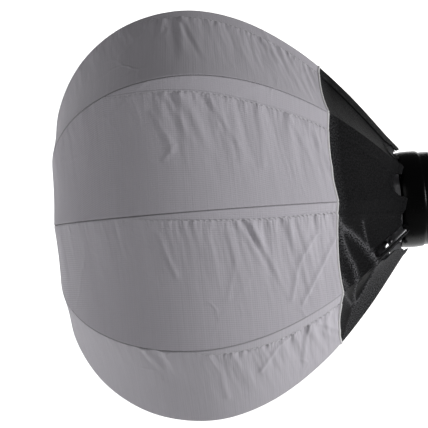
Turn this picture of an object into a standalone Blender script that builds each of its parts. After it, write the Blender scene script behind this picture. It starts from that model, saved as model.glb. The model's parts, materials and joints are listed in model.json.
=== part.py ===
"""Folding lantern softbox: ten sprung ribs in a fabric globe, on a three-lug bayonet drum.

Frame: metres. The origin is the centre of the bayonet's seating face, +X points out of the
bayonet towards the light, +Z is up, and the globe reaches along -X. Rib 01 lies towards -Y and
the ribs count round from there towards +Z.
"""

import math

import bmesh
import bpy
from mathutils import Matrix, Vector

# ---- driving dimensions, metres and degrees -------------------------------------------------
RIBS = 10
# the fabric over a rib, from the skirt's tip to just short of the front hub: (x, radius)
FABRIC_LINE = (
    (-0.0500, 0.0865),
    (-0.1220, 0.1780),
    (-0.1940, 0.2500),
    (-0.2780, 0.3035),
    (-0.3640, 0.3250),
    (-0.4520, 0.3090),
    (-0.5230, 0.2595),
    (-0.5670, 0.1860),
    (-0.5790, 0.1030),
    (-0.5810, 0.0420),
)
SKIRT_END = 0.1745       # length along the line where the black skirt meets the white cover
NOTCH_DEPTH = 0.030      # how far the skirt is cut back midway between two ribs
SEAM_GAP = 0.0006
CLOTH = 0.0012           # thickness of the cloth with its lining
POCKET = 0.0016          # room between a rod and the inside of the cloth
GAP = 0.0004             # air between touching pieces

ROD_R = 0.0022
HINGE_GAP = 0.0016       # each length of a rib stops this short of its hinge
HINGE_A_X = -0.325       # where a rib's rear length meets its middle length
HINGE_B_X = -0.515       # where the middle length meets the front length
HUB_HINGE_R = 0.030      # the ribs' front ends turn on this radius
HUB_R = 0.0342
HUB_HALF = 0.0042        # half the hub's thickness
HUB_SLOT_IN = 0.0255     # how far in the hub's slots are cut
CAP_THICK = 0.0026

DRUM_R = 0.0735
DRUM_WALL = 0.0030
DRUM_FRONT = -0.0550
BORE_R = 0.0490
PIVOT = (-0.0630, 0.0640)    # a foot's pivot: (x, radius)
WIRE_R = 0.0015
CARRIER_IN, CARRIER_OUT = 0.0585, 0.0700
CARRIER_BACK, CARRIER_FRONT = -0.0500, -0.0715
SLOT = 0.0062            # width of the slot that a foot turns in
CARRIER_SLOT_BACK = -0.0522  # the slots stop here, clear of a folded foot's heel
RING_STEPS = 40          # sides of the turned rings in the drum and at the hub
FOOT_WIDTH = 0.0050
BARREL_R = 0.0034
BARREL_LENGTH = 0.030
LOCK_FACE = -0.0582
LOCK_BACK = -0.0400
LINER_IN, LINER_OUT = 0.0590, 0.0602

FLANGE = 0.0030
TUBE_R = 0.0535
TUBE_END = 0.0100
LUG_R = 0.0610
LUGS = 3
LUG_DEGREES = 30
LUG_THICK = 0.0035
SCREW_CIRCLE = 0.0655
SCREWS = 3
BUTTON_X = -0.0300
BUTTON_R = 0.0060

COLOURS = {
    "white_cloth": ((0.80, 0.80, 0.82), 0.85, 0.0),
    "black_cloth": ((0.02, 0.02, 0.022), 0.55, 0.0),
    "spring_rod": ((0.62, 0.62, 0.64), 0.35, 1.0),
    "cast_foot": ((0.55, 0.55, 0.57), 0.40, 1.0),
    "gloss_black": ((0.015, 0.015, 0.016), 0.22, 0.0),
    "turned_metal": ((0.60, 0.60, 0.62), 0.30, 1.0),
    "steel_wire": ((0.50, 0.50, 0.52), 0.30, 1.0),
    "matt_plastic": ((0.03, 0.03, 0.032), 0.50, 0.0),
}


# ---- shared tools ---------------------------------------------------------------------------
def material(name):
    found = bpy.data.materials.get(name)
    if found:
        return found
    colour, roughness, metallic = COLOURS[name]
    made = bpy.data.materials.new(name)
    made.use_nodes = True
    shader = made.node_tree.nodes["Principled BSDF"]
    shader.inputs["Base Color"].default_value = (*colour, 1.0)
    shader.inputs["Roughness"].default_value = roughness
    shader.inputs["Metallic"].default_value = metallic
    return made


def place(name, data, finish=None):
    made = bpy.data.objects.new(name, data)
    bpy.context.collection.objects.link(made)
    if finish:
        data.materials.append(material(finish))
    return made


def from_bmesh(name, bm, finish=None, recalculate=True):
    if recalculate:
        bmesh.ops.recalc_face_normals(bm, faces=bm.faces)
    mesh = bpy.data.meshes.new(name)
    bm.to_mesh(mesh)
    bm.free()
    mesh.shade_smooth()
    mesh.set_sharp_from_angle(angle=math.radians(32))
    return place(name, mesh, finish)


def turned(name, outline, steps, finish):
    """A closed outline of (x, radius) points, turned about the X axis."""
    bm = bmesh.new()
    ring = [bm.verts.new((x, 0.0, r)) for x, r in outline]
    edges = [bm.edges.new((a, b)) for a, b in zip(ring, ring[1:] + ring[:1])]
    bmesh.ops.spin(
        bm, geom=ring + edges, axis=(1, 0, 0), cent=(0, 0, 0), steps=steps,
        angle=math.tau, use_merge=True,
    )
    bmesh.ops.remove_doubles(bm, verts=bm.verts, dist=1e-6)
    return from_bmesh(name, bm, finish)


def cylinder(bm, start, end, radius, sides=16):
    """A closed cylinder from start to end, added to a bmesh."""
    start, end = Vector(start), Vector(end)
    along = end - start
    turn = Vector((0, 0, 1)).rotation_difference(along).to_matrix().to_4x4()
    bmesh.ops.create_cone(
        bm, cap_ends=True, segments=sides, radius1=radius, radius2=radius,
        depth=along.length, matrix=Matrix.Translation((start + end) / 2) @ turn,
    )


def cut(piece, tool, operation="DIFFERENCE"):
    """Cuts one object with another by a live, exact Boolean, and hides the tool."""
    step = piece.modifiers.new(tool.name, "BOOLEAN")
    step.operation = operation
    step.solver = "EXACT"
    step.object = tool
    tool.hide_render = True
    tool.display_type = "WIRE"


def evaluated(piece, name):
    """The mesh of a piece after its Booleans, to be shared by its copies."""
    bpy.context.view_layer.update()
    seen = piece.evaluated_get(bpy.context.evaluated_depsgraph_get())
    mesh = bpy.data.meshes.new_from_object(seen)
    mesh.name = name
    return mesh


def arc(x, r, radius, start, end, steps):
    """Points on an arc in the (x, radius) plane, angles in degrees."""
    turns = [math.radians(start + (end - start) * i / steps) for i in range(steps + 1)]
    return [(x + radius * math.cos(a), r + radius * math.sin(a)) for a in turns]


# ---- the bowed line that the ribs and the cloth share -----------------------------------------
def smooth_line(points, between=12):
    """A Catmull-Rom curve through the points, as (length along, x, radius) samples."""
    first = (2 * points[0][0] - points[1][0], 2 * points[0][1] - points[1][1])
    last = (2 * points[-1][0] - points[-2][0], 2 * points[-1][1] - points[-2][1])
    knots = [Vector(p) for p in (first, *points, last)]
    line = []
    for a, b, c, d in zip(knots, knots[1:], knots[2:], knots[3:]):
        for i in range(between):
            t = i / between
            line.append(
                0.5 * (2 * b + (c - a) * t + (2 * a - 5 * b + 4 * c - d) * t**2
                       + (3 * b - a - 3 * c + d) * t**3)
            )
    line.append(knots[-2])
    samples, length = [], 0.0
    for i, p in enumerate(line):
        length += (p - line[i - 1]).length if i else 0.0
        samples.append((length, p.x, p.y))
    return samples


FABRIC = smooth_line(FABRIC_LINE)
LINE_LENGTH = FABRIC[-1][0]


def on_fabric(length, inward=0.0):
    """The point of the bowed line at a length along it, set in from the cloth's outside."""
    last = len(FABRIC) - 2
    at = next((i for i in range(last + 1) if FABRIC[i + 1][0] >= length), last)
    (s0, x0, r0), (s1, x1, r1) = FABRIC[at], FABRIC[at + 1]
    t = (length - s0) / (s1 - s0)
    run = Vector((x1 - x0, r1 - r0)).normalized()
    inside = Vector((-run.y, run.x))
    return Vector((x0 + (x1 - x0) * t, r0 + (r1 - r0) * t)) + inside * inward


def length_at(test):
    """The first length along the fabric line whose rib point passes a test."""
    steps = 2000
    lengths = [LINE_LENGTH * i / steps for i in range(steps + 1)]
    return next(s for s in lengths if test(on_fabric(s, ROD_SET)))


ROD_SET = CLOTH + POCKET + ROD_R / math.cos(math.pi / RIBS)
LENGTH_A = length_at(lambda p: p.x <= HINGE_A_X)
LENGTH_B = length_at(lambda p: p.x <= HINGE_B_X)
LENGTH_HUB = length_at(lambda p: p.x < HINGE_B_X and p.y <= 0.046)
PIVOT_A = on_fabric(LENGTH_A, ROD_SET)
PIVOT_B = on_fabric(LENGTH_B, ROD_SET)
HUB_X = on_fabric(LENGTH_HUB, ROD_SET).x
HUB_FACE = HUB_X - HUB_HALF - GAP        # where the cap sits
COVER_FLAT_R = HUB_R + 0.0018            # the cover lies flat over the hub out to here
COVER_POLE = HUB_FACE - CAP_THICK - 2 * GAP - CLOTH


def flat_point(p, about=(0.0, 0.0)):
    """An (x, radius) point in a rib's own plane, where the radius runs along -Y."""
    return Vector((p[0] - about[0], -(p[1] - about[1]), 0.0))


# ---- cloth ------------------------------------------------------------------------------------
def cloth_shell(name, rows, per_gore, start, end, pole, finish):
    """A shell of flat gores between the ribs, each per_gore columns wide. start(f) is the length
    where a column begins, f being 0 on a rib and 1 midway between two; pole closes the front."""
    columns = RIBS * per_gore
    bm = bmesh.new()

    def corner(row, column, side):
        f = 1 - abs(2 * (column % per_gore) / per_gore - 1)
        length = start(f) + (end - start(f)) * row / rows
        p = on_fabric(length, side * CLOTH / math.cos(math.pi / RIBS))
        rib = column // per_gore
        t = (column % per_gore) / per_gore
        ends = [math.tau * (rib + k) / RIBS for k in (0, 1)]
        flat = [Vector((-p.y * math.cos(a), p.y * math.sin(a))) for a in ends]
        at = flat[0].lerp(flat[1], t)
        return bm.verts.new((p.x, at.x, at.y))

    sides = []
    for side in (0, 1):
        grid = [[corner(r, c, side) for c in range(columns)] for r in range(rows + 1)]
        for row, after in zip(grid, grid[1:]):
            for c in range(columns):
                d = (c + 1) % columns
                bm.faces.new((row[c], row[d], after[d], after[c]))
        sides.append(grid)
    joins = [0] if pole else [0, rows]
    for row in joins:
        for c in range(columns):
            d = (c + 1) % columns
            bm.faces.new((sides[0][row][c], sides[0][row][d], sides[1][row][d], sides[1][row][c]))
    if pole:
        for side in (0, 1):
            last = sides[side][rows]
            rim = []
            for v in last:
                new = v.co.copy()
                shrink = COVER_FLAT_R / math.hypot(new.y, new.z)
                new.y, new.z = new.y * shrink, new.z * shrink
                new.x = pole + side * CLOTH
                rim.append(bm.verts.new(new))
            tip = bm.verts.new((pole + side * CLOTH, 0, 0))
            for c in range(columns):
                d = (c + 1) % columns
                bm.faces.new((last[c], last[d], rim[d], rim[c]))
                bm.faces.new((rim[c], rim[d], tip))
    return from_bmesh(name, bm, finish)


def notch(f):
    """The skirt's rear edge: a tip on each rib and a rounded notch between."""
    return NOTCH_DEPTH * math.sin(math.pi / 2 * f) ** 0.8 if f else 0.0


def make_cloth():
    cloth_shell("rear_skirt", 7, 4, notch, SKIRT_END, None, "black_cloth")
    cloth_shell(
        "diffuser_cover", 30, 1, lambda f: SKIRT_END + SEAM_GAP, LINE_LENGTH, COVER_POLE,
        "white_cloth",
    )


# ---- ribs and their feet ------------------------------------------------------------------------
def rod(name, start, end, about, points):
    """A length of sprung rod along the bowed line, as a round-section curve."""
    curve = bpy.data.curves.new(name, "CURVE")
    curve.dimensions = "3D"
    curve.bevel_depth = ROD_R
    curve.bevel_resolution = 2
    curve.use_fill_caps = True
    spline = curve.splines.new("POLY")
    spline.points.add(points - 1)
    for i, point in enumerate(spline.points):
        p = on_fabric(start + (end - start) * i / (points - 1), ROD_SET)
        point.co = (*flat_point(p, about), 1.0)
    spline.use_smooth = True
    curve.materials.append(material("spring_rod"))
    return curve


def front_rod():
    """The front length, which ends in the hub's slot on the hub's hinge radius."""
    curve = rod("rib_front", LENGTH_B + HINGE_GAP, LENGTH_HUB, PIVOT_B, 6)
    spline = curve.splines[0]
    spline.points.add(1)
    tip = flat_point((HUB_X, HUB_HINGE_R - ROD_R), PIVOT_B)
    spline.points[-1].co = (*tip, 1.0)
    return curve


def foot_mesh():
    """The cast foot: a barrel for the rod, an arm to the eye, and a heel for the lock ring."""
    first, further = on_fabric(0.0, ROD_SET), on_fabric(0.010, ROD_SET)
    along = (further - first).normalized()
    eye = Vector(PIVOT)
    outline = (
        first + along * 0.001,
        first + along * 0.022,
        eye + Vector((-0.0048, 0.0020)),
        eye + Vector((-0.0042, -0.0100)),
        eye + Vector((0.0, -0.0140)),
        eye + Vector((0.0040, -0.0105)),
        eye + Vector((0.0050, 0.0)),
    )
    bm = bmesh.new()
    corners = [bm.verts.new(flat_point(p, PIVOT) - Vector((0, 0, FOOT_WIDTH / 2))) for p in outline]
    face = bm.faces.new(corners)
    raised = bmesh.ops.extrude_face_region(bm, geom=[face])
    moved = [v for v in raised["geom"] if isinstance(v, bmesh.types.BMVert)]
    bmesh.ops.translate(bm, verts=moved, vec=(0, 0, FOOT_WIDTH))
    plate = from_bmesh("foot_plate", bm, "cast_foot")

    tools = {}
    for name, ends, radius, sides in (
        ("barrel", (first - along * 0.001, first + along * BARREL_LENGTH), BARREL_R, 14),
        ("bore", (first - along * 0.0002, first + along * 0.040), ROD_R + GAP, 12),
    ):
        bm = bmesh.new()
        cylinder(bm, *(flat_point(p, PIVOT) for p in ends), radius, sides)
        tools[name] = from_bmesh("tool_" + name, bm)
    bm = bmesh.new()
    cylinder(bm, (0, 0, -0.01), (0, 0, 0.01), WIRE_R + 0.0005, 14)
    tools["eye"] = from_bmesh("tool_eye", bm)
    cut(plate, tools["barrel"], "UNION")
    cut(plate, tools["bore"])
    cut(plate, tools["eye"])
    mesh = evaluated(plate, "rib_foot")
    for used in (plate, *tools.values()):
        bpy.data.objects.remove(used)
    return mesh


def make_ribs():
    lengths = {
        "rear": (rod("rib_rear", 0.0006, LENGTH_A - HINGE_GAP, PIVOT, 9), PIVOT),
        "middle": (rod("rib_middle", LENGTH_A + HINGE_GAP, LENGTH_B - HINGE_GAP, PIVOT_A, 6), PIVOT_A),
        "front": (front_rod(), PIVOT_B),
    }
    foot = foot_mesh()
    for i in range(RIBS):
        plane = place(f"rib_{i + 1:02d}_plane", None)
        plane.rotation_euler.x = -math.tau * i / RIBS
        for part, (data, about) in lengths.items():
            piece = place(f"rib_{i + 1:02d}_{part}", data)
            piece.location = flat_point(about)
            piece.parent = plane
        piece = place(f"rib_{i + 1:02d}_foot", foot)
        piece.location = flat_point(PIVOT)
        piece.parent = plane


# ---- the drum, the carrier and the lock -----------------------------------------------------------
def slots(name, low, high, inner, outer):
    """Ten radial blocks, one on each rib, that cut the slots of a ring."""
    bm = bmesh.new()
    for i in range(RIBS):
        size = Matrix.Diagonal((high - low, outer - inner, SLOT, 1.0))
        shift = Matrix.Translation(((low + high) / 2, -(inner + outer) / 2, 0))
        turn = Matrix.Rotation(-math.tau * i / RIBS, 4, "X")
        bmesh.ops.create_cube(bm, size=1.0, matrix=turn @ shift @ size)
    return from_bmesh(name, bm)


def make_carrier():
    wire = WIRE_R + GAP
    split = PIVOT[0]
    carrier = turned("rib_carrier", [
        (CARRIER_BACK, CARRIER_IN),
        (split + GAP / 2, CARRIER_IN),
        *arc(split + GAP / 2, PIVOT[1], wire, -90, 90, 4),
        (split + GAP / 2, CARRIER_OUT),
        (CARRIER_BACK, CARRIER_OUT),
    ], RING_STEPS, "turned_metal")
    cut(carrier, slots("tool_carrier", -0.08, CARRIER_SLOT_BACK, 0.05, 0.08))
    flange, flange_thick = CARRIER_IN - 0.0055, 0.0022
    clamp = turned("carrier_clamp", [
        (split - GAP / 2, CARRIER_IN),
        (CARRIER_FRONT + flange_thick, CARRIER_IN),
        (CARRIER_FRONT + flange_thick, flange),
        (CARRIER_FRONT, flange),
        (CARRIER_FRONT, CARRIER_OUT - 0.001),
        (CARRIER_FRONT + 0.001, CARRIER_OUT),
        (split - GAP / 2, CARRIER_OUT),
        *arc(split - GAP / 2, PIVOT[1], wire, 90, 270, 4),
    ], RING_STEPS, "turned_metal")
    cut(clamp, slots("tool_clamp_front", -0.09, -0.05, CARRIER_IN + 0.0003, 0.08))
    behind = CARRIER_FRONT + flange_thick + 0.0001
    cut(clamp, slots("tool_clamp_back", behind, -0.05, CARRIER_IN - 0.0015, 0.079))
    turned("hinge_wire", arc(split, PIVOT[1], WIRE_R, 0, 360 - 60, 5), RING_STEPS, "steel_wire")


def make_drum():
    inner = DRUM_R - DRUM_WALL
    back = -FLANGE - GAP
    round_r = 0.0014
    drum = turned("mount_drum", [
        (back, 0.0625),
        (back - 0.006, 0.0625),
        (back - 0.006, inner),
        (DRUM_FRONT + 0.001, inner),
        *arc(DRUM_FRONT + round_r, DRUM_R - round_r, round_r, 180, 90, 4),
        *arc(back - 0.001, DRUM_R - 0.001, 0.001, 90, 0, 2),
    ], 60, "gloss_black")
    bm = bmesh.new()
    cylinder(bm, (BUTTON_X, 0.066, 0), (BUTTON_X, 0.08, 0), BUTTON_R + GAP, 20)
    cut(drum, from_bmesh("tool_button_hole", bm))

    liner = turned("drum_liner", [
        (-0.0495, LINER_IN), (-0.0495, LINER_OUT), (-FLANGE - GAP, LINER_OUT),
        (-FLANGE - GAP, LINER_IN),
    ][::-1], RING_STEPS, "matt_plastic")
    bm = bmesh.new()
    cylinder(bm, (BUTTON_X, 0.055, 0), (BUTTON_X, 0.065, 0), 0.0034, 16)
    cut(liner, from_bmesh("tool_stem_hole", bm))

    turned("lock_ring", [
        (LOCK_FACE, BORE_R + 0.0005), (LOCK_BACK, BORE_R + 0.0005), (LOCK_BACK, 0.0574),
        (LOCK_FACE + 0.002, 0.0574), (LOCK_FACE, 0.0560),
    ][::-1], RING_STEPS, "turned_metal")


def helix(name, radius, wire, start, end, turns, per_turn, axis_place, finish):
    """A coil spring: a tube swept along a helix that runs along X, then placed."""
    curve = bpy.data.curves.new(name, "CURVE")
    curve.dimensions = "3D"
    curve.bevel_depth = wire
    curve.bevel_resolution = 1
    curve.use_fill_caps = True
    spline = curve.splines.new("POLY")
    count = int(turns * per_turn) + 1
    spline.points.add(count - 1)
    for i, point in enumerate(spline.points):
        a = math.tau * i / per_turn
        x = start + (end - start) * i / (count - 1)
        spot = axis_place @ Vector((x, radius * math.cos(a), radius * math.sin(a)))
        point.co = (*spot, 1.0)
    spline.use_smooth = True
    return place(name, curve, finish)


def make_springs_and_button():
    helix("lock_spring", 0.0535, 0.0011, LOCK_BACK + 0.0016, -FLANGE - 0.0020, 3, 18,
          Matrix.Identity(4), "steel_wire")
    outward = Matrix.Translation((BUTTON_X, 0, 0)) @ Matrix.Rotation(math.pi / 2, 4, "Z")
    helix("button_spring", 0.0046, 0.0004, LINER_OUT + 0.0009, 0.0676, 4, 10, outward, "steel_wire")
    button = turned("release_button", [
        (0.0606, 0.0), (0.0606, 0.0030), (0.0684, 0.0030), (0.0684, 0.0076), (0.0699, 0.0076),
        (0.0699, BUTTON_R), (0.0756, BUTTON_R), (0.0764, BUTTON_R - 0.0008), (0.0764, 0.0),
    ], 20, "matt_plastic")
    button.matrix_world = outward


def make_bayonet():
    ring = turned("bayonet_ring", [
        (0.0, TUBE_R), (TUBE_END, TUBE_R), (TUBE_END, BORE_R), (-FLANGE, BORE_R),
        (-FLANGE, 0.0725), (-0.0006, 0.0725), (0.0, 0.0719),
    ], 60, "turned_metal")
    for i in range(LUGS):
        middle = math.tau * i / LUGS
        bm = bmesh.new()
        low, high = TUBE_END - LUG_THICK, TUBE_END - 0.0002
        half = math.radians(LUG_DEGREES / 2)
        steps = 6
        turns = [middle - half + 2 * half * k / steps for k in range(steps + 1)]
        rim = [(LUG_R, a) for a in turns] + [(TUBE_R - 0.002, a) for a in reversed(turns)]
        face = bm.faces.new([bm.verts.new((low, r * math.sin(a), r * math.cos(a))) for r, a in rim])
        raised = bmesh.ops.extrude_face_region(bm, geom=[face])
        moved = [v for v in raised["geom"] if isinstance(v, bmesh.types.BMVert)]
        bmesh.ops.translate(bm, verts=moved, vec=(high - low, 0, 0))
        cut(ring, from_bmesh(f"tool_lug_{i + 1}", bm), "UNION")

    holes, pilot = bmesh.new(), bmesh.new()
    head_r, head_deep, shank_r, tip = 0.0030, 0.0016, 0.0013, -0.0085
    for i in range(SCREWS):
        a = math.tau * (i + 0.5) / SCREWS
        y, z = SCREW_CIRCLE * math.sin(a), SCREW_CIRCLE * math.cos(a)
        cylinder(holes, (-head_deep, y, z), (0.001, y, z), head_r + GAP, 14)
        cylinder(pilot, (-0.012, y, z), (0.002, y, z), shank_r + GAP, 12)
        screw = turned(f"bayonet_screw_{i + 1}", [
            (tip, 0.0), (tip, shank_r), (-head_deep + GAP, shank_r), (-head_deep + GAP, head_r),
            (-0.0004, head_r), (-0.0003, head_r - 0.0004), (-0.0003, 0.0),
        ], 12, "steel_wire")
        screw.location = (0, y, z)
    cut(ring, from_bmesh("tool_heads", holes))
    pilots = from_bmesh("tool_pilots", pilot)
    cut(ring, pilots)
    cut(bpy.data.objects["mount_drum"], pilots)


# ---- the front hub ----------------------------------------------------------------------------------
def make_hub():
    hub = turned("front_hub", [
        (HUB_X + HUB_HALF, 0.0032), (HUB_X + HUB_HALF, HUB_R),
        (HUB_X - HUB_HALF, HUB_R), (HUB_X - HUB_HALF, 0.0032),
    ][::-1], RING_STEPS, "matt_plastic")
    cut(hub, slots("tool_hub", HUB_X - 0.01, HUB_X + 0.01, HUB_SLOT_IN, 0.05))
    front = HUB_FACE - CAP_THICK
    turned("hub_cap", [
        (HUB_FACE, 0.0020), (HUB_FACE, HUB_R + 0.0004), (HUB_FACE - 0.0014, HUB_R),
        (front, HUB_R - 0.0032), (front, 0.0020),
    ], RING_STEPS, "matt_plastic")
    back = HUB_X + HUB_HALF + GAP
    turned("hub_screw", [
        (front + 0.0004, 0.0), (front + 0.0004, 0.0016), (back, 0.0016),
        (back, 0.0048), (back + 0.0016, 0.0048), (back + 0.0022, 0.0036), (back + 0.0022, 0.0),
    ], 16, "steel_wire")


for old in list(bpy.data.objects):
    bpy.data.objects.remove(old)
make_cloth()
make_ribs()
make_carrier()
make_drum()
make_springs_and_button()
make_bayonet()
make_hub()
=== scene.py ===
"""Looks of a folding lantern softbox: a sewn white globe and a black skirt over ten sprung ribs,
on a gloss black drum that fits a studio light. Everything is in metres, in the model's frame:
the bayonet's seat is the origin, +X points to the light, and rib 01 lies towards -Y."""
import json
import math
import random

import bmesh
import bpy
import numpy as np
from mathutils import Matrix, Vector


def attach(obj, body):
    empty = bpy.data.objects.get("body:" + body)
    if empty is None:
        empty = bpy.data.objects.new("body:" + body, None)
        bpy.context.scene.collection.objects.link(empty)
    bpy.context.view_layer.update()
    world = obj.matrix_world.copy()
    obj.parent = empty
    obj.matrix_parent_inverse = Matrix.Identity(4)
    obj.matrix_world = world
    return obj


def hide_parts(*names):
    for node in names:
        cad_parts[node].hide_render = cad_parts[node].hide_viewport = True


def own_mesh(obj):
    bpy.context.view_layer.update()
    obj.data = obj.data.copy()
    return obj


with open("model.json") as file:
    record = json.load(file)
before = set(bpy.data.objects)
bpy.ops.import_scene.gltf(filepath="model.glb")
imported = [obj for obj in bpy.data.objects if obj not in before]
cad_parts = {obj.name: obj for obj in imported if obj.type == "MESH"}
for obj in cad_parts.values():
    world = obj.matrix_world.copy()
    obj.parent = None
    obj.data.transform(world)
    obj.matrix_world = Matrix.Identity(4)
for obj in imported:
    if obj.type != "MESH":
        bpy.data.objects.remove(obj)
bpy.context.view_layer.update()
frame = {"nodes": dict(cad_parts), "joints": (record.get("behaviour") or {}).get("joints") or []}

# The studio: a camera level with the lantern and square to its axis, a lit sweep of paper behind
# it, a plain card for the floor, and soft light that is strongest from the drum's side.
AIM = Vector((-0.3419, 0.0, 0.0015))
TURN, RAISE, TILT = (math.radians(a) for a in (0.84, -1.29, -4.57))
DISTANCE = 2.086
LENS = 111.26
camera = bpy.data.objects.new("camera", bpy.data.cameras.new("camera"))
bpy.context.scene.collection.objects.link(camera)
camera.data.lens = LENS
camera.data.sensor_width = 36
camera.matrix_world = (
    Matrix.Translation(AIM)
    @ Matrix.Rotation(TURN, 4, "Z")
    @ Matrix.Rotation(math.pi / 2 - RAISE, 4, "X")
    @ Matrix.Rotation(TILT, 4, "Z")
    @ Matrix.Translation((0, 0, DISTANCE))
)
bpy.context.scene.camera = camera
bpy.context.scene.view_settings.view_transform = "Standard"


class Flow:
    """One output of a shader node, which sums can be written with."""

    def __init__(self, nodes, socket):
        self.nodes, self.socket = nodes, socket

    def maths(self, operation, *others):
        values = dict(enumerate((self, *others)))
        return self.nodes.make("ShaderNodeMath", {"operation": operation}, values)

    def __add__(self, other):
        return self.maths("ADD", other)

    def __sub__(self, other):
        return self.maths("SUBTRACT", other)

    def __rsub__(self, other):
        return self * -1 + other

    def __mul__(self, other):
        return self.maths("MULTIPLY", other)

    def __truediv__(self, other):
        return self.maths("DIVIDE", other)

    __radd__, __rmul__ = __add__, __mul__

    def wave(self, pitch):
        """From -1 to 1 and back over each pitch."""
        return (self * (math.tau / pitch)).maths("SINE")

    def above_zero(self):
        return self.maths("MAXIMUM", 0.0)

    def near(self, middle, half):
        """1 at middle, falling to 0 at half away."""
        return (1 - (self - middle).maths("ABSOLUTE") / half).above_zero()


class Finish:
    """A material with a Principled shader, built one node at a time."""

    def __init__(self, name, colour, roughness, metallic=0.0, **constants):
        self.material = bpy.data.materials.new(name)
        self.material.use_nodes = True
        self.tree = self.material.node_tree
        self.shader = self.tree.nodes["Principled BSDF"]
        self.set(Base_Color=(*colour, 1.0), Roughness=roughness, Metallic=metallic, **constants)

    def set(self, **values):
        for name, value in values.items():
            self.fill(self.shader.inputs[name.replace("_", " ")], value)

    def fill(self, socket, value):
        if isinstance(value, Flow):
            self.tree.links.new(value.socket, socket)
        else:
            socket.default_value = value

    def make(self, kind, settings=None, values=None, output=0):
        """Adds a node: its settings first, then its sockets' values or links."""
        node = self.tree.nodes.new(kind)
        for name, value in (settings or {}).items():
            setattr(node, name, value)
        for name, value in (values or {}).items():
            self.fill(node.inputs[name], value)
        return Flow(self, node.outputs[output])

    def noise(self, scale, detail=2.0, place=None):
        place = place or self.make("ShaderNodeTexCoord", output="Object")
        spots = {"Scale": scale, "Detail": detail, "Vector": place}
        return self.make("ShaderNodeTexNoise", None, spots)

    def blend(self, factor, first, second):
        """A colour that goes from first to second as the factor goes from 0 to 1."""
        return self.make(
            "ShaderNodeMix", {"data_type": "RGBA"}, {0: factor, 6: first, 7: second}, output=2
        )

    def bump(self, height, distance, strength=1.0):
        self.set(Normal=self.make(
            "ShaderNodeBump", None,
            {"Height": height, "Distance": distance, "Strength": strength},
        ))


def put(name, shape, *finishes):
    """Makes an object of a bmesh or a mesh, at the origin, with its materials."""
    mesh = shape
    if isinstance(shape, bmesh.types.BMesh):
        mesh = bpy.data.meshes.new(name)
        shape.to_mesh(mesh)
        shape.free()
    made = bpy.data.objects.new(name, mesh)
    bpy.context.scene.collection.objects.link(made)
    for finish in finishes:
        mesh.materials.append(finish.material)
    return made


paper = Finish("paper", (0.90, 0.90, 0.90), 0.9)
paper.set(Emission_Color=(1, 1, 1, 1), Emission_Strength=0.97)
FLOOR = -1.5
BEND = 1.2                   # the radius in which the paper turns up
NEAR, FAR = 0.3, 4.5
HALF_WIDTH, HEIGHT = 25, 4
sweep = bmesh.new()
edge = [sweep.verts.new((-HALF_WIDTH, y, FLOOR)) for y in (NEAR, FAR)]
sweep.edges.new(edge)
bend = bmesh.ops.spin(
    sweep, geom=[edge[1]], axis=(1, 0, 0), cent=(0, FAR, FLOOR + BEND), steps=16,
    angle=math.pi / 2,
)["geom_last"]
top = bmesh.ops.extrude_vert_indiv(
    sweep, verts=[v for v in bend if isinstance(v, bmesh.types.BMVert)]
)
bmesh.ops.translate(sweep, verts=top["verts"], vec=(0, 0, HEIGHT))
side = bmesh.ops.extrude_edge_only(sweep, edges=sweep.edges[:])
bmesh.ops.translate(
    sweep, verts=[v for v in side["geom"] if isinstance(v, bmesh.types.BMVert)],
    vec=(2 * HALF_WIDTH, 0, 0),
)
bmesh.ops.recalc_face_normals(sweep, faces=sweep.faces)
floor = put("paper_sweep", sweep, paper)
floor.data.shade_smooth()

ground = bmesh.new()
bmesh.ops.create_grid(ground, x_segments=1, y_segments=1, size=30.0)
bmesh.ops.translate(ground, verts=ground.verts, vec=(0, 0, FLOOR - 0.01))
card = Finish("floor_card", (0.42, 0.42, 0.42), 0.9)
card.set(Emission_Color=(1, 1, 1, 1), Emission_Strength=0.03)
put("floor", ground, card)

world = bpy.data.worlds.new("studio")
bpy.context.scene.world = world
world.use_nodes = True
haze = world.node_tree.nodes["Background"].inputs
haze["Color"].default_value = (1.0, 1.0, 1.0, 1.0)
haze["Strength"].default_value = 0.06
for name, place, size, watts in (
    ("key", (2.0, -1.05, 0.10), 0.8, 28),
    ("fill", (-1.5, -2.1, 0.30), 2.0, 9.5),
):
    light = bpy.data.lights.new(name, "AREA")
    light.size, light.energy = size, watts
    lamp = bpy.data.objects.new(name, light)
    bpy.context.scene.collection.objects.link(lamp)
    lamp.location = place
    lamp.rotation_euler = (AIM - Vector(place)).to_track_quat("-Z", "Y").to_euler()

# The white cover: ten gores of woven polyester, sewn to each other over the ribs, with each rib
# in a pocket that is stitched on the side below it. It is cut here midway between ribs, and where
# a rib bends, so that each length of cloth goes with its own length of rib.
RIBS = 10
GORE = math.tau / RIBS
BOW = (   # the cloth over a rib, from the skirt's tip to the hub: (x, radius)
    (-0.0500, 0.0865), (-0.1220, 0.1780), (-0.1940, 0.2500), (-0.2780, 0.3035),
    (-0.3640, 0.3250), (-0.4520, 0.3090), (-0.5230, 0.2595), (-0.5670, 0.1860),
    (-0.5790, 0.1030), (-0.5810, 0.0420), (-0.5850, 0.0350),
)
WHITE_FROM = 0.1750          # length along the bow where the white cover is sewn to the skirt
CLOTH = 0.0009               # the cloth's thickness
HEM = 0.0038                 # the white cover's turned edge, which stands out as a pale line
LAP = 0.016                  # cloth that reaches under its neighbour where a rib bends
LAP_DEPTH = 0.0012


def smooth_line(points, between):
    """A Catmull-Rom curve through the points."""
    knots = [2 * np.array(points[0]) - points[1], *map(np.array, points),
             2 * np.array(points[-1]) - points[-2]]
    t = (np.arange(between) / between)[:, None]
    runs = [
        0.5 * (2 * b + (c - a) * t + (2 * a - 5 * b + 4 * c - d) * t**2
               + (3 * b - a - 3 * c + d) * t**3)
        for a, b, c, d in zip(knots, knots[1:], knots[2:], knots[3:])
    ]
    return np.concatenate([*runs, knots[-2][None]])


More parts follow.
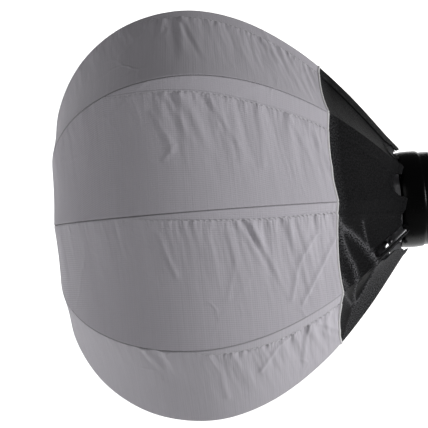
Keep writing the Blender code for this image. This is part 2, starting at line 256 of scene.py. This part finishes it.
bow = smooth_line(BOW, 40)
bow_length = np.concatenate([[0], np.cumsum(np.linalg.norm(np.diff(bow, axis=0), axis=1))])
bow_run = np.gradient(bow, axis=0)
bow_run /= np.linalg.norm(bow_run, axis=1)[:, None]


def on_bow(length):
    """(x, radius) over a rib and the outward direction there, at lengths along the bow."""
    x, r, run_x, run_r = (
        np.interp(length, bow_length, values) for values in (*bow.T, *bow_run.T)
    )
    before = np.minimum(length, 0)
    return x + before * run_x, r + before * run_r, run_r, -run_x


def hinge_length(joint):
    """How far along the bow a rib's hinge lies."""
    place = next(j["pos_m"] for j in frame["joints"] if j["name"] == joint)
    spot = np.array([place[0], math.hypot(place[1], place[2])])
    return float(bow_length[np.linalg.norm(bow - spot, axis=1).argmin()])


BEND_A, BEND_B = hinge_length("rib_01_bow_a"), hinge_length("rib_01_bow_b")
BOW_END = float(bow_length[-1])

draw = random.Random(7)
pockets = {k: (draw.uniform(0.018, 0.032), draw.uniform(0.40, 0.53)) for k in range(RIBS)}
pockets.update({0: (0.0195, 0.50), 1: (0.0345, 0.53), 2: (0.030, 0.50), 9: (0.0275, 0.43)})


def pocket_width(rib, length):
    """How far below a rib its pocket is stitched; the pocket narrows to nothing in front."""
    width, end = pockets[rib]
    open_part = np.clip((end - length) / (end - 0.30), 0, 1)
    return width * np.sqrt(open_part) * (0.86 + 0.14 * np.clip((length - 0.19) / 0.15, 0, 1))


def creases(rib):
    """The puckers and folds that hang from the stitching below one rib: where each starts, its
    slant, its reach, its width and how far it stands out."""
    pick = random.Random(100 + rib)
    found = []
    at = WHITE_FROM + 0.008
    while at < pockets[rib][1] - 0.03:
        near_skirt = 1 - (at - WHITE_FROM) / 0.35
        if pick.random() < 0.3:
            reach, spread = pick.uniform(0.05, 0.10), pick.uniform(0.0050, 0.0080)
        else:
            reach, spread = pick.uniform(0.010, 0.026), pick.uniform(0.0024, 0.0038)
        found.append((at, pick.uniform(-0.25, 0.15), reach, spread,
                      pick.uniform(0.5, 1.6) * (0.35 + 0.65 * near_skirt) * 0.001))
        at += pick.uniform(0.010, 0.024)
    for _ in range(7):
        found.append((pick.uniform(0.21, 0.52), pick.uniform(-0.75, 0.3), pick.uniform(0.06, 0.16),
                      pick.uniform(0.0035, 0.008), pick.uniform(0.9, 2.2) * 0.001))
    return found


crease_list = {k: creases(k) for k in range(RIBS)}


# Long creases left from folding: the gore below a rib, then places on it as (length along the
# bow, share of the way to the next rib down), with the crease's width and height.
LONG_CREASES = (
    (0, ((0.186, 0.38), (0.218, 0.62), (0.256, 0.86)), 0.0034, 0.0024),
    (0, ((0.221, 0.28), (0.257, 0.50), (0.274, 0.79)), 0.0036, 0.0022),
    (0, ((0.458, 0.14), (0.450, 0.29), (0.439, 0.45)), 0.0030, 0.0014),
    (0, ((0.360, 0.17), (0.355, 0.39), (0.371, 0.65)), 0.0040, 0.0009),
    (1, ((0.456, 0.25), (0.442, 0.40), (0.431, 0.55)), 0.0028, 0.0014),
    (1, ((0.435, 0.44), (0.428, 0.52), (0.443, 0.61)), 0.0026, 0.0013),
    (1, ((0.375, 0.16), (0.370, 0.29), (0.364, 0.40)), 0.0030, 0.0015),
    (1, ((0.342, 0.18), (0.340, 0.40), (0.335, 0.64)), 0.0045, 0.0013),
    (1, ((0.305, 0.18), (0.301, 0.39), (0.303, 0.68)), 0.0055, 0.0015),
    (9, ((0.264, 0.14), (0.299, 0.21), (0.330, 0.48)), 0.0040, 0.0014),
    (9, ((0.403, 0.08), (0.390, 0.37), (0.384, 0.70)), 0.0045, 0.0012),
    (2, ((0.282, 0.02), (0.268, 0.22), (0.258, 0.48)), 0.0040, 0.0012),
    (4, ((0.300, 0.20), (0.340, 0.45), (0.330, 0.75)), 0.0040, 0.0013),
    (6, ((0.250, 0.25), (0.270, 0.55), (0.330, 0.80)), 0.0040, 0.0013),
    (7, ((0.420, 0.20), (0.380, 0.50), (0.390, 0.80)), 0.0040, 0.0013),
)


def from_line(length, share, width, knots):
    """The distance of places on a gore from a line of knots drawn on it."""
    nearest = np.full(np.shape(length), 9.0)
    for (l0, s0), (l1, s1) in zip(knots, knots[1:]):
        run_l, run_s = l1 - l0, (s1 - s0) * width
        t = ((length - l0) * run_l + (share - s0) * width * run_s) / (run_l**2 + run_s**2)
        t = np.clip(t, 0, 1)
        away = np.hypot(length - l0 - t * run_l, (share - s0) * width - t * run_s)
        nearest = np.minimum(nearest, away)
    return nearest


WIDEST = 0.1                 # half the width of a gore where it is widest
HOLLOW = 0.0025              # how far a gore sinks in its middle there
STITCH_DIP = 0.0005
CREASED_WIDTH = 0.19         # about how wide the white gores are where their long creases lie


def swell(rib, length, below, half):
    """How far the cloth stands out between a rib and the one below it: below is the distance
    under the upper rib, and half is half the gore's width."""
    share = np.clip(below / (2 * half), 0, 1)
    out = -HOLLOW * half / WIDEST * np.sin(math.pi * share)
    width = pocket_width(rib, length)
    sewn = np.clip((pockets[rib][1] - length) / 0.03, 0, 1)
    out -= STITCH_DIP * sewn * np.exp(-(((below - width) / 0.0016) ** 2))
    for gore, knots, spread, height in LONG_CREASES:
        if gore == rib:
            away = from_line(length, share, CREASED_WIDTH, knots)
            out += height * np.exp(-((away / spread) ** 1.6))
    for at, slant, reach, spread, height in crease_list[rib]:
        hang = below - width
        shade = np.clip(hang / 0.003, 0, 1) * np.clip(1 - hang / reach, 0, 1)
        off = length - at - slant * hang
        out += height * shade * np.exp(-((off / spread) ** 2))
        out -= 0.6 * height * shade * np.exp(-(((off - 1.7 * spread) / spread) ** 2))
    return out


def on_cloth(rib, length, across, lift, fold, groove=0.0):
    """Points of the cloth round one rib. across is the distance from the rib, up being more;
    fold adds the cloth's own relief, groove is the seam's depth, and lift moves it all out."""
    x, r, out_x, out_r = on_bow(length)
    half = r * math.sin(GORE / 2)
    share = np.clip(np.abs(across) / half, 0, 1)
    side = np.where(across < 0, -1.0, 1.0)
    angle = rib * GORE
    middle = angle + side * GORE / 2
    at_rib, at_middle = (1 - share) * r, share * r * math.cos(GORE / 2)
    y = -at_rib * math.cos(angle) - at_middle * np.cos(middle)
    z = at_rib * math.sin(angle) + at_middle * np.sin(middle)
    face = angle + side * GORE / 2 * np.clip(share * 12, 0, 1)
    relief = np.where(
        across < 0,
        fold(rib, length, np.abs(across), half),
        fold((rib + 1) % RIBS, length, 2 * half - np.abs(across), half),
    )
    lift = lift + relief - groove * np.exp(-((across + 0.0004) / 0.0009) ** 2)
    return np.stack([
        x + out_x * lift,
        y - out_r * lift * np.cos(face),
        z + out_r * lift * np.sin(face),
    ], -1)


def cloth_piece(name, columns, rows, shape, finishes, bound=0.0):
    """A sewn length of cloth with its thickness. shape(u, v, under) gives its points, their
    places in the cloth's own flat measures, for u and v from 0 to 1. The finishes are the
    outside's, the inside's and that of a binding over the first share of the length."""
    bm = bmesh.new()
    bmesh.ops.create_grid(bm, x_segments=columns, y_segments=rows, size=1.0)
    for face in bm.faces:
        if face.calc_center_median().y < 2 * bound - 1:
            face.material_index = 2
    outer_rim = [e for e in bm.edges if e.is_boundary]
    copied = bmesh.ops.duplicate(bm, geom=bm.verts[:] + bm.edges[:] + bm.faces[:])
    lower = [g for g in copied["geom"] if isinstance(g, bmesh.types.BMVert)]
    under_faces = [g for g in copied["geom"] if isinstance(g, bmesh.types.BMFace)]
    bmesh.ops.translate(bm, verts=lower, vec=(0, 0, -0.001))
    bmesh.ops.reverse_faces(bm, faces=under_faces)
    for face in under_faces:
        face.material_index = 1
    edges = [g for g in copied["geom"] if isinstance(g, bmesh.types.BMEdge)]
    inner_rim = [e for e in edges if e.is_boundary]
    bmesh.ops.bridge_loops(bm, edges=outer_rim + inner_rim)
    bm.normal_update()
    mesh = bpy.data.meshes.new(name)
    bm.to_mesh(mesh)
    bm.free()
    flat = np.zeros(len(mesh.vertices) * 3, np.float32)
    mesh.vertices.foreach_get("co", flat)
    flat = flat.reshape(-1, 3).astype(float)
    under = flat[:, 2] < -0.0005
    points, *flats = shape((flat[:, 0] + 1) / 2, (flat[:, 1] + 1) / 2, under * CLOTH)
    mesh.vertices.foreach_set("co", points.astype(np.float32).ravel())
    corner = np.zeros(len(mesh.loops), np.int32)
    mesh.loops.foreach_get("vertex_index", corner)
    for layer, spots in zip(("cut", "sewn", "crest"), flats):
        layer = mesh.uv_layers.new(name=layer)
        layer.data.foreach_set("uv", spots[corner].astype(np.float32).ravel())
    mesh.update()
    mesh.shade_smooth()
    mesh.set_sharp_from_angle(angle=math.radians(50))
    return put(name, mesh, *finishes)


def flat_measures(rib, length, across):
    """Where points lie on the flat cloth: from the rib (cut), and from the stitching above them
    (sewn), where each gore has its own stretch so that no two wrinkle alike."""
    half = on_bow(length)[1] * math.sin(GORE / 2)
    lower = across < 0
    hang = np.where(
        lower,
        -across - pocket_width(rib, length),
        2 * half - across - pocket_width((rib + 1) % RIBS, length),
    )
    gore = np.where(lower, rib, (rib + 1) % RIBS)
    return np.stack([length, across], -1), np.stack([length + 2.0 * gore, hang], -1)


BUNCH = 1.35                 # how much closer together the columns lie near the rib


def spread_across(u, half):
    """Distances across a strip from its rib, for u from 0 to 1."""
    signed = 2 * u - 1
    return np.sign(signed) * np.abs(signed) ** BUNCH * half


def seam_length(share):
    """Where the white cover meets the skirt: pulled a little forward between the ribs."""
    return WHITE_FROM + 0.0055 * (1 - (1 - share) ** 2.5)


def measure(finish, layer):
    """The two flat measures of a cloth, as separate values."""
    spot = finish.make("ShaderNodeUVMap", {"uv_map": layer})
    return [finish.make("ShaderNodeSeparateXYZ", None, {0: spot}, output=i) for i in (0, 1)]


def stretch(finish, along, across):
    """A place for a noise to be read at, from measures that are already scaled."""
    return finish.make("ShaderNodeCombineXYZ", None, {0: along, 1: across})


DYE = (0.70, 0.672, 0.735)
white_cloth = Finish("white_cloth", DYE, 0.85, Sheen_Weight=0.2)
along, across = measure(white_cloth, "cut")
sewn_along, hang_down = measure(white_cloth, "sewn")
below = hang_down.maths("GREATER_THAN", 0.0)
thread_v = along.wave(0.0033)
thread_h = hang_down.wave(0.0031)
streaks = white_cloth.noise(1.0, 2.0, stretch(white_cloth, sewn_along * 330, hang_down * 9)) - 0.5
slub = white_cloth.noise(1.0, 3.0, stretch(white_cloth, sewn_along * 900, hang_down * 900)) - 0.5
puckers = white_cloth.noise(1.0, 2.0, stretch(white_cloth, sewn_along * 85, hang_down * 14)) - 0.5
pucker_reach = below * (1 - hang_down / 0.034).above_zero()
folds = white_cloth.noise(
    1.0, 2.0, stretch(white_cloth, (sewn_along + hang_down * 0.16) * 34, hang_down * 5)
) - 0.5
fold_reach = below * hang_down.near(0.02, 0.13)
bent = white_cloth.noise(9.0, 3.0, stretch(white_cloth, sewn_along, hang_down))
crush = white_cloth.make(
    "ShaderNodeTexVoronoi", {"feature": "DISTANCE_TO_EDGE"},
    {"Vector": stretch(white_cloth, sewn_along + bent * 0.09, hang_down * 0.8 + bent * 0.05),
     "Scale": 13.0},
)
crushed_here = ((bent - 0.50) * 5.0).above_zero()
by_skirt = along.near(0.19, 0.26)
stitch = hang_down.near(0.0, 0.0016)
dashes = stitch * (0.45 + sewn_along.wave(0.0078) * 0.55)
height = (
    thread_v * 0.022 + thread_h * 0.08 + streaks * 0.30 + slub * 0.10
    + puckers * pucker_reach * pucker_reach * (5.5 + by_skirt * 5.0)
    + folds * fold_reach * (5.5 + by_skirt * 10.0)
    + crush.near(0.0, 0.06) * crushed_here * 0.8
    + hang_down.near(-0.0020, 0.0016) * 0.7 - stitch * 0.2 + dashes * 1.4 * (0.3 + by_skirt)
)
white_cloth.bump(height, 0.001)
# Painted shade: the cloth is drawn darker along each rib's seam groove, less so near the skirt.
seam = across.near(-0.0004, 0.0016)
tone = 1.0 + streaks * 0.13 + slub * 0.05 + thread_v * 0.008 + thread_h * 0.012
dyed = white_cloth.make("ShaderNodeVectorMath", {"operation": "SCALE"}, {0: DYE, "Scale": tone})
sewn = white_cloth.blend(stitch * 0.22, dyed, (0.40, 0.39, 0.42, 1.0))
threads = dashes.above_zero() * (0.35 + by_skirt * 0.6)
sewn = white_cloth.blend(threads, sewn, (0.97, 0.95, 0.99, 1.0))
painted_seam_shade = seam * (1 - by_skirt * 0.45)
white_cloth.set(Base_Color=white_cloth.blend(painted_seam_shade, sewn, (0.20, 0.195, 0.21, 1.0)))
binding = Finish("seam_binding", (0.95, 0.94, 0.95), 0.7)
binding.bump(binding.noise(900, 2.0), 0.0003)
lining = Finish("cover_inside", (0.74, 0.74, 0.75), 0.9)
in_along, in_across = measure(lining, "cut")
lining.bump(in_along.wave(0.0031) * 0.1 + in_across.wave(0.0031) * 0.1, 0.001)

CELL = 0.0025                # the length of cloth between rows
COLUMNS = 76
CROWN = BOW_END - 0.095      # where the cloth round the hub begins


def cover_strip(rib, part, name, start, end, lap):
    """The white cloth over one length of one rib, with lap under the length behind it."""
    lap_rows = 3 if lap else 0
    hem_rows = 6
    rows = round((end - start) / CELL) + lap_rows

    def shape(u, v, under):
        row = v * rows
        if start < BEND_A:
            share = np.abs(2 * u - 1) ** BUNCH
            first = seam_length(share)
            eased = np.where(
                row < hem_rows, row / hem_rows * HEM,
                HEM + (row - hem_rows) / (rows - hem_rows) * (end - first - HEM),
            )
            length = first + eased
        else:
            length = start + np.clip(row - lap_rows, 0, None) / (rows - lap_rows) * (end - start)
        tucked = 0.0
        if lap:
            tucked = np.where(row < lap_rows - 0.5, LAP_DEPTH, 0.0)
            length = length - np.clip(lap_rows - 1 - row, 0, None) / (lap_rows - 1) * LAP
        half = on_bow(length)[1] * math.sin(GORE / 2)
        across = spread_across(u, half)
        hem = 0.0
        if start < BEND_A:
            round_edge = np.clip(1 - ((length - first) / (HEM / 2) - 1) ** 2, 0, 1)
            hem = 0.0015 * np.sqrt(round_edge)
        points = on_cloth(rib, length, across, hem - under - tucked, swell, 0.0014)
        return points, *flat_measures(rib, length, across)

    piece = cloth_piece(
        f"cover_{rib + 1:02d}_{name}", COLUMNS, rows, shape, (white_cloth, lining, binding),
        bound=(hem_rows - 0.5) / rows if start < BEND_A else 0.0,
    )
    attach(piece, f"rib_{rib + 1:02d}_{part}")
    return piece


def close_up(piece):
    """Gives the piece its own copy of its mesh."""
    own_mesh(piece)


for rib in range(RIBS):
    for part, name, start, end, lap, keep in (
        ("rear", "rear", WHITE_FROM, BEND_A, False, 0.36),
        ("middle", "middle", BEND_A, BEND_B, True, 0.30),
        ("front", "front", BEND_B, CROWN, True, 0.40),
        ("front", "crown", CROWN, BOW_END, True, 0.85),
    ):
        piece = cover_strip(rib, part, name, start, end, lap)
        close_up(piece)
        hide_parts("diffuser_cover")

# The black skirt: proofed black nylon, silvery inside, sewn to the cover's hem. It ends in a tip
# on each rib, with a rounded notch between, and its lower panels hang a little loose.
NYLON = (0.0058, 0.0058, 0.0063)
black_cloth = Finish("black_cloth", NYLON, 0.5, Specular_IOR_Level=0.012)
silver = Finish("silver_lining", (0.62, 0.62, 0.63), 0.38, 0.85)
along, across = measure(black_cloth, "cut")
sewn_along, hang_down = measure(black_cloth, "sewn")
grain = black_cloth.noise(1.0, 2.0, stretch(black_cloth, sewn_along * 420, hang_down * 420)) - 0.5
ruck = black_cloth.noise(1.0, 3.0, stretch(black_cloth, sewn_along * 30, hang_down * 22)) - 0.5
black_cloth.bump(
    grain * 0.5 + along.wave(0.0022) * 0.05 + across.wave(0.0022) * 0.05 + ruck * 1.2, 0.001
)
black_cloth.set(Roughness=0.42 + grain * 0.3)
# Painted highlight: the black cloth is drawn paler, speckled with its grain, on its loose folds'
# crests, along its seam to the white cover, and on gores that catch the light.
tops, from_tip = measure(black_cloth, "crest")
speckle = (grain * 4.0 + 0.5).above_zero()
pale = (tops * 1.35 + from_tip.near(0.180, 0.026) * 0.30) * speckle
black_cloth.set(Base_Color=black_cloth.blend(
    pale.maths("MINIMUM", 1.0), (*NYLON, 1.0), (0.17, 0.17, 0.18, 1.0)
))
silver.bump(silver.noise(140, 3.0), 0.0012, 0.7)


# Loose folds: the gore below a rib, then places on it as (length along the bow, share of the
# way to the next rib down), with the fold's width and height.
LOOSE = (
    (0, ((0.174, 0.25), (0.145, 0.39), (0.122, 0.55), (0.106, 0.73), (0.094, 0.93), (0.092, 1.0)),
     0.0034, 0.0042),
    (0, ((0.170, 0.24), (0.166, 0.35), (0.162, 0.46), (0.153, 0.64), (0.143, 0.83), (0.143, 1.0)),
     0.0038, 0.0036),
    (0, ((0.113, 0.30), (0.106, 0.51), (0.102, 0.74), (0.096, 0.84)), 0.0022, 0.0022),
    (0, ((0.174, 0.86), (0.166, 1.0)), 0.0040, 0.0020),
    (9, ((0.091, 0.0), (0.098, 0.32), (0.121, 0.53), (0.144, 0.60)), 0.0026, 0.0034),
    (9, ((0.143, 0.0), (0.145, 0.19), (0.139, 0.53)), 0.0028, 0.0032),
    (9, ((0.174, 0.0), (0.165, 0.20), (0.147, 0.52)), 0.0026, 0.0026),
    (4, ((0.170, 0.20), (0.140, 0.45), (0.105, 0.70), (0.095, 1.0)), 0.0050, 0.0040),
    (4, ((0.165, 0.60), (0.120, 0.75), (0.080, 0.80)), 0.0050, 0.0030),
    (6, ((0.160, 0.15), (0.120, 0.40), (0.100, 0.80)), 0.0060, 0.0036),
)
LOOSE_WIDTH = 0.12           # about how wide the skirt's gores are there
SLACK = {0: 0.006, 9: 0.004, 4: 0.005, 6: 0.004}
SLIPPED = 9                  # the rib whose skirt has slipped forward, off the rib's rear end


def hang(rib, length, below, half):
    """The skirt's relief: a slightly hollow panel, a stitched band below each rib, and folds."""
    share = np.clip(below / (2 * half), 0, 1)
    edge = np.sin(math.pi * share)
    out = -(0.0030 + SLACK.get(rib, 0.0)) * edge * np.clip(length / 0.1, 0, 1)
    if rib != SLIPPED:
        out += 0.0011 * np.clip(1 - ((below - 0.0250) / 0.0045) ** 6, 0, 1)
        out += 0.0006 * np.exp(-((below - 0.0212) / 0.0008) ** 2)
    return out + 0.004 * crest(rib, length, share) * np.sin(math.pi * share) ** 0.3


def crest(rib, length, share, widen=1.0):
    """How near places on a gore are to the tops of its loose folds, up to about 1."""
    top = np.zeros_like(length)
    for gore, knots, spread, height in LOOSE:
        if gore == rib:
            away = from_line(length, share, LOOSE_WIDTH, knots)
            top += height / 0.004 * np.exp(-((away / spread / widen) ** 1.5))
    return top


# Below one rib the cloth catches the light behind this line, as (share of the way down, length).
LIT = ((0, 0.088), (0.32, 0.098), (0.53, 0.121), (0.62, 0.144), (0.78, 0.160), (1, 0.177))


def painted_sheen(rib, length, share):
    """How pale the black cloth is painted at places on a gore: a painted highlight on its folds'
    crests and on the gores that catch the light.
    """
    lit = {0: 0.055, 1: 0.07, 2: 0.0}.get(rib, 0.04)
    if rib == SLIPPED:
        lit = 0.30 * np.clip((np.interp(share, *zip(*LIT)) - length) / 0.004, 0, 1)
    return crest(rib, length, share, 1.15) + lit


# Where the skirt ends between two ribs, as (share of the way down, length along the bow): a
# broad tip over each rib's pocket, then a notch. One gore hangs open beside the rib below it.
TIP = -0.006
EDGE = ((0, TIP), (0.30, 0.004), (0.38, 0.022), (0.60, 0.030), (0.82, 0.028), (0.92, 0.016),
        (0.96, 0.002), (1, TIP))
OWN_EDGES = {
    0: ((0, TIP), (0.33, 0.002), (0.43, 0.014), (0.69, 0.012), (0.755, 0.028), (0.765, 0.058),
        (0.785, 0.079), (0.84, 0.090), (0.90, 0.091), (0.945, 0.080), (0.96, TIP), (1, TIP)),
    9: ((0, TIP), (0.04, TIP), (0.06, 0.080), (0.22, 0.064), (0.25, 0.049), (0.275, 0.034),
        (0.47, 0.019), (0.78, 0.006), (0.90, -0.002), (1, -0.008)),
}


def rear_edge(gore, share):
    places, lengths = zip(*OWN_EDGES.get(gore, EDGE))
    return np.interp(share, places, lengths)


def skirt_strip(rib):
    rows = 64

    def shape(u, v, under):
        share = np.abs(2 * u - 1) ** BUNCH
        first = np.where(
            u < 0.5, rear_edge(rib, share / 2), rear_edge((rib + 1) % RIBS, 1 - share / 2)
        )
        last = seam_length(share) + 0.001
        length = first + v * (last - first)
        half = on_bow(length)[1] * math.sin(GORE / 2)
        across = spread_across(u, half)
        hem = 0.0010 * np.clip(1 - ((length - first - 0.005) / 0.005) ** 6, 0, 1)
        points = on_cloth(rib, length, across, hem - under - 0.0003, hang)
        gore = np.where(across < 0, rib, (rib + 1) % RIBS)
        down = np.clip(np.where(across < 0, -across, 2 * half - across) / (2 * half), 0, 1)
        # The painted highlight at each point, carried to the shader in the crest layer.
        tops = sum(
            np.where(gore == g, painted_sheen(g, length, down), 0) for g in (rib, (rib + 1) % RIBS)
        )
        pale = np.stack([tops, length], -1)
        return points, *flat_measures(rib, length, across), pale

    piece = cloth_piece(f"skirt_{rib + 1:02d}", COLUMNS, rows, shape, (black_cloth, silver))
    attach(piece, f"rib_{rib + 1:02d}_rear")
    return piece


for rib in range(RIBS):
    piece = skirt_strip(rib)
    close_up(piece)
    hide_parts("rear_skirt")

# The drum: a short black moulded tube with a rounded front lip, polished.
drum_black = Finish("drum_black", (0.0015, 0.0015, 0.0016), 0.22, Specular_IOR_Level=0.16)
scuffs = drum_black.noise(35, 5.0)
drum_black.set(Roughness=0.17 + scuffs * 0.16)
drum_black.bump(drum_black.noise(420, 2.0), 0.00004, 0.5)
drum_outline = (
    (-0.0034, 0.0625), (-0.0094, 0.0625), (-0.0094, 0.0705), (-0.0540, 0.0705), (-0.0548, 0.0708),
    (-0.0550, 0.0714), (-0.0546, 0.0722), (-0.0532, 0.0731), (-0.0505, 0.0741), (-0.0465, 0.0749),
    (-0.0400, 0.0754), (-0.0310, 0.0755), (-0.0230, 0.0752), (-0.0190, 0.0747), (-0.0180, 0.0740),
    (-0.0178, 0.0731), (-0.0168, 0.0727), (-0.0048, 0.0727), (-0.0038, 0.0724), (-0.0034, 0.0716),
)
bm = bmesh.new()
ring = [bm.verts.new((x, 0.0, r)) for x, r in drum_outline]
loop = [bm.edges.new(pair) for pair in zip(ring, ring[1:] + ring[:1])]
bmesh.ops.spin(
    bm, geom=ring + loop, axis=(1, 0, 0), cent=(0, 0, 0), steps=160, angle=math.tau, use_merge=True
)
bmesh.ops.remove_doubles(bm, verts=bm.verts, dist=1e-6)
bmesh.ops.recalc_face_normals(bm, faces=bm.faces)
drum = put("drum_shell", bm, drum_black)
BUTTON_HOLE = (-0.030, 0.0066)       # x, radius
hole = bmesh.new()
bmesh.ops.create_cone(
    hole, cap_ends=True, segments=48, radius1=BUTTON_HOLE[1], radius2=BUTTON_HOLE[1], depth=0.02,
    matrix=Matrix.Translation((BUTTON_HOLE[0], 0.073, 0)) @ Matrix.Rotation(math.pi / 2, 4, "X"),
)
drill = put("drill", hole)
cut_hole = drum.modifiers.new("button_hole", "BOOLEAN")
cut_hole.operation, cut_hole.solver, cut_hole.object = "DIFFERENCE", "EXACT", drill
bpy.context.view_layer.update()
drilled = bpy.data.meshes.new_from_object(
    drum.evaluated_get(bpy.context.evaluated_depsgraph_get())
)
drum.modifiers.clear()
drum.data = drilled
bpy.data.objects.remove(drill)
drilled.shade_smooth()
drilled.set_sharp_from_angle(angle=math.radians(40))
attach(drum, "drum")
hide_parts("mount_drum")

# Everything else of metal and plastic: turned rings, cast feet, drawn rods and springs.
turned = Finish("turned_aluminium", (0.56, 0.56, 0.58), 0.32, 1.0)
where = turned.make("ShaderNodeTexCoord", output="Object")
rings = turned.make("ShaderNodeSeparateXYZ", None, {0: where})
turned.bump(rings.wave(0.0006) * 0.5 + turned.noise(200, 3.0), 0.00003, 0.6)
turned.set(Roughness=0.26 + turned.noise(90, 4.0) * 0.16)
rod_steel = Finish("rod_steel", (0.55, 0.55, 0.57), 0.30, 1.0)
rod_steel.set(Roughness=0.22 + rod_steel.noise(160, 4.0) * 0.2)
cast = Finish("cast_zinc", (0.62, 0.62, 0.64), 0.38, 1.0)
cast.bump(cast.noise(700, 3.0), 0.00008, 0.7)
cast.set(Roughness=0.30 + cast.noise(120, 3.0) * 0.2)
moulded = Finish("moulded_black", (0.02, 0.02, 0.021), 0.5)
moulded.bump(moulded.noise(1500, 2.0), 0.00006, 0.8)
for node, piece in frame["nodes"].items():
    finish = None
    if node in ("bayonet_ring", "rib_carrier", "carrier_clamp", "lock_ring"):
        finish = turned
    elif node.endswith("_foot"):
        finish = cast
    elif node in ("drum_liner", "release_button", "front_hub", "hub_cap"):
        finish = moulded
    elif node not in ("mount_drum", "rear_skirt", "diffuser_cover"):
        finish = rod_steel
    if finish:
        piece.data.materials.clear()
        piece.data.materials.append(finish.material)
